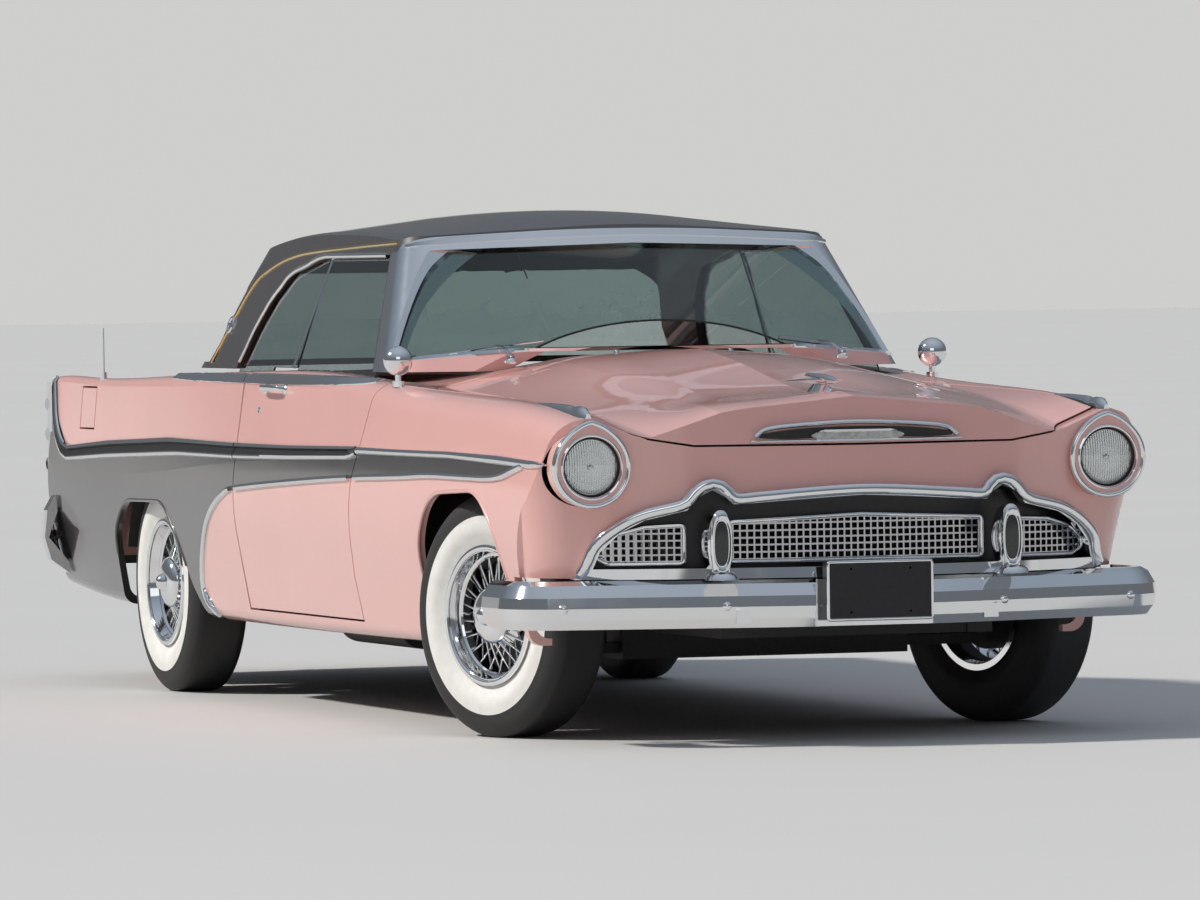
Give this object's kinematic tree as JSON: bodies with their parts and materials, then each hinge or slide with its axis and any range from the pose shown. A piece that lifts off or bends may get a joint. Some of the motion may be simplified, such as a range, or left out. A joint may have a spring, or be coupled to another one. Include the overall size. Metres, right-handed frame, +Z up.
{
  "type": "1950s two-door hardtop car",
  "caption": "Two-door pillarless hardtop of the mid 1950s with wire wheels, steered front wheels, opening doors, hood and trunk lid.",
  "frame": {"origin": "on the ground, on the centre line, at the middle of the overall length", "axes": "+Z up, nose towards -Y, the car's left side towards +X"},
  "size_m": [1.988, 5.6, 1.5256],
  "materials": {
    "pink_paint": "gloss",
    "charcoal_paint": "gloss",
    "chrome": "polished",
    "glass": "clear",
    "lamp_glass": "clear",
    "lamp_red": "gloss",
    "plate_black": "satin",
    "tyre": "satin",
    "grille_black": "satin",
    "frame_steel": "satin",
    "engine_iron": "matte",
    "cabin_floor": "matte",
    "upholstery": "satin",
    "dash_paint": "gloss",
    "wheel_rim_plastic": "gloss"
  },
  "bodies": {
    "body": {"chassis_frame": "frame_steel", "floor_pan": "cabin_floor", "engine_block": "engine_iron", "radiator": "frame_steel", "inner_fenders": "frame_steel", "front_fender_left": "pink_paint", "front_fender_right": "pink_paint", "nose_panel": "pink_paint", "grille_surround": "chrome", "grille_mesh": "chrome", "grille_tray": "grille_black", "front_bumper": "chrome", "plate_holder": "plate_black", "parking_lights": "chrome", "headlight_bezels": "chrome", "headlights": "lamp_glass", "cowl": "pink_paint", "sills": "pink_paint", "rear_quarter_left": "pink_paint", "rear_quarter_right": "pink_paint", "rear_deck": "pink_paint", "tail_panel": "pink_paint", "tail_lights": "lamp_red", "rear_bumper": "chrome", "roof": "charcoal_paint", "windshield_frame": "chrome", "windshield": "glass", "rear_window": "glass", "quarter_windows": "glass", "dashboard": "dash_paint", "front_seat": "upholstery", "rear_seat": "upholstery", "steering_column": "dash_paint", "rear_axle": "frame_steel", "front_suspension": "frame_steel", "fuel_tank": "frame_steel", "exhaust": "frame_steel", "mirrors": "chrome", "antenna": "chrome"},
    "hood": {"hood": "pink_paint"},
    "trunk_lid": {"trunk_lid": "pink_paint"},
    "door_left": {"door_left": "pink_paint", "door_glass_left": "glass"},
    "door_right": {"door_right": "pink_paint", "door_glass_right": "glass"},
    "fuel_door": {"fuel_door": "pink_paint"},
    "knuckle_left": {"knuckle_left": "frame_steel"},
    "knuckle_right": {"knuckle_right": "frame_steel"},
    "steering_wheel": {"steering_wheel": "wheel_rim_plastic"},
    "wheel_front_left": {"tyre_front_left": "tyre", "wheel_front_left": "chrome"},
    "wheel_front_right": {"tyre_front_right": "tyre", "wheel_front_right": "chrome"},
    "wheel_rear_left": {"tyre_rear_left": "tyre", "wheel_rear_left": "chrome"},
    "wheel_rear_right": {"tyre_rear_right": "tyre", "wheel_rear_right": "chrome"}
  },
  "joints": [
    {"name": "steer_left", "type": "hinge", "parent": "body", "child": "knuckle_left", "pos_m": [0.69, -1.8, 0.352], "axis": [0, 0, 1], "range_deg": [-50, 14]},
    {"name": "steer_right", "type": "hinge", "parent": "body", "child": "knuckle_right", "pos_m": [-0.69, -1.8, 0.352], "axis": [0, 0, 1], "range_deg": [-50, 14]},
    {"name": "steering_wheel_turn", "type": "hinge", "parent": "body", "child": "steering_wheel", "pos_m": [0.37, -0.5, 0.9], "axis": [0, 0.9063, 0.4226], "range_deg": [-900, 252]},
    {"name": "spin_front_left", "type": "hinge", "parent": "knuckle_left", "child": "wheel_front_left", "pos_m": [0.76085, -1.77698, 0.352], "axis": [0.9511, 0.309, 0], "continuous": true},
    {"name": "spin_front_right", "type": "hinge", "parent": "knuckle_right", "child": "wheel_front_right", "pos_m": [-0.76085, -1.82302, 0.352], "axis": [0.9511, 0.309, 0], "continuous": true},
    {"name": "spin_rear_left", "type": "hinge", "parent": "body", "child": "wheel_rear_left", "pos_m": [0.757, 1.4, 0.352], "axis": [1, 0, 0], "continuous": true},
    {"name": "spin_rear_right", "type": "hinge", "parent": "body", "child": "wheel_rear_right", "pos_m": [-0.757, 1.4, 0.352], "axis": [1, 0, 0], "continuous": true},
    {"name": "door_left_swing", "type": "hinge", "parent": "body", "child": "door_left", "pos_m": [0.93, -0.975, 0.7], "axis": [0, 0, -1], "range_deg": [0, 68]},
    {"name": "door_right_swing", "type": "hinge", "parent": "body", "child": "door_right", "pos_m": [-0.93, -0.975, 0.7], "axis": [0, 0, 1], "range_deg": [0, 68]},
    {"name": "hood_lift", "type": "hinge", "parent": "body", "child": "hood", "pos_m": [0, -1.14, 1.1], "axis": [-1, 0, 0], "range_deg": [0, 60]},
    {"name": "trunk_lift", "type": "hinge", "parent": "body", "child": "trunk_lid", "pos_m": [0, 1.56, 1.022], "axis": [1, 0, 0], "range_deg": [0, 65]},
    {"name": "fuel_door_swing", "type": "hinge", "parent": "body", "child": "fuel_door", "pos_m": [-0.874, 2.105, 0.905], "axis": [0, 0, 1], "range_deg": [0, 90]}
  ],
  "couplings": [
    {"joint": "steer_right", "follows": "steer_left", "ratio": 1},
    {"joint": "steering_wheel_turn", "follows": "steer_left", "ratio": 18}
  ]
}
